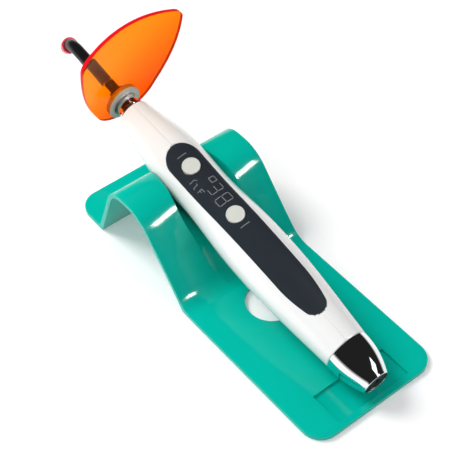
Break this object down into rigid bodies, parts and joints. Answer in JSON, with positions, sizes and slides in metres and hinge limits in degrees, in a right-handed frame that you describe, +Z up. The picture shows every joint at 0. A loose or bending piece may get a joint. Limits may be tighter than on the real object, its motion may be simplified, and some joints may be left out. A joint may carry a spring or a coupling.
{
  "type": "dental curing light",
  "caption": "Cordless pen-shaped dental curing light with an orange eye shield, a bent light guide and two keys, lying in a moulded desk stand.",
  "frame": {"origin": "on the table under the middle of the stand's footprint, at stand_base", "axes": "+Z up from the table, +X towards the tail of the handpiece and the front edge of the stand, Y = 0 through the middle of the stand"},
  "size_m": [0.2876, 0.084, 0.1169],
  "materials": {
    "stand_plastic": "glossy moulded translucent plastic",
    "white_plastic": "glossy white moulded plastic",
    "panel": "dark grey gloss inlay",
    "display": "display module",
    "circuit_board": "solder mask",
    "switch": "moulded black",
    "battery_sleeve": "shrink sleeve",
    "contact_metal": "plated",
    "chrome": "mirror chrome",
    "dark_plastic": "moulded black",
    "clear_lens": "polished",
    "led_base": "light source base",
    "aluminium": "turned",
    "button": "moulded pale grey",
    "spring_steel": "spring steel",
    "rod": "dark clad glass fibre rod",
    "shield_plastic": "transparent orange plate",
    "grommet": "grey silicone",
    "tip_cap": "translucent red cap"
  },
  "bodies": {
    "stand": {"stand": "stand_plastic"},
    "handpiece": {"left_housing": "white_plastic", "right_housing": "white_plastic", "control_panel": "panel", "display_module": "display", "circuit_board": "circuit_board", "power_switch": "switch", "mode_switch": "switch", "buzzer": "switch", "battery_cell": "battery_sleeve", "front_contact": "contact_metal", "rear_contact": "contact_metal", "tail_cap": "chrome", "tail_plug": "dark_plastic", "charging_socket": "contact_metal", "charging_pin": "contact_metal", "charging_board": "circuit_board", "neck_collar": "chrome", "collimating_lens": "clear_lens", "led_module": "led_base", "heat_sink": "aluminium"},
    "power_key": {"power_button": "button"},
    "mode_key": {"mode_button": "button"},
    "guide_seat": {"retaining_ring": "spring_steel"},
    "light_guide": {"guide_ferrule": "chrome", "guide_rod": "rod"},
    "eye_shield": {"shield": "shield_plastic", "grommet": "grommet"},
    "rod_cap": {"tip_cap": "tip_cap"}
  },
  "joints": [
    {"name": "handpiece_lift", "type": "slide", "parent": "stand", "child": "handpiece", "axis": [0, 0, 1], "range_m": [0, 0.08]},
    {"name": "power_press", "type": "slide", "parent": "handpiece", "child": "power_key", "axis": [-0.1797, 0.2147, -0.96], "range_m": [0, 0.0005], "stiffness_N_per_m": 1000, "springref_m": -0.0004},
    {"name": "mode_press", "type": "slide", "parent": "handpiece", "child": "mode_key", "axis": [-0.1797, 0.2147, -0.96], "range_m": [0, 0.0005], "stiffness_N_per_m": 1000, "springref_m": -0.0004},
    {"name": "guide_turn", "type": "hinge", "parent": "handpiece", "child": "guide_seat", "pos_m": [-0.1042, 0.0016, 0.0515], "axis": [-0.9829, 0, 0.184], "continuous": true},
    {"name": "guide_pull", "type": "slide", "parent": "guide_seat", "child": "light_guide", "axis": [-0.9829, 0, 0.184], "range_m": [0, 0.015]},
    {"name": "shield_turn", "type": "hinge", "parent": "light_guide", "child": "eye_shield", "pos_m": [-0.11442, 0.0016, 0.05341], "axis": [-0.9829, 0, 0.184], "continuous": true},
    {"name": "cap_pull", "type": "slide", "parent": "light_guide", "child": "rod_cap", "axis": [-0.686, 0.1801, -0.7049], "range_m": [0, 0.012]}
  ]
}
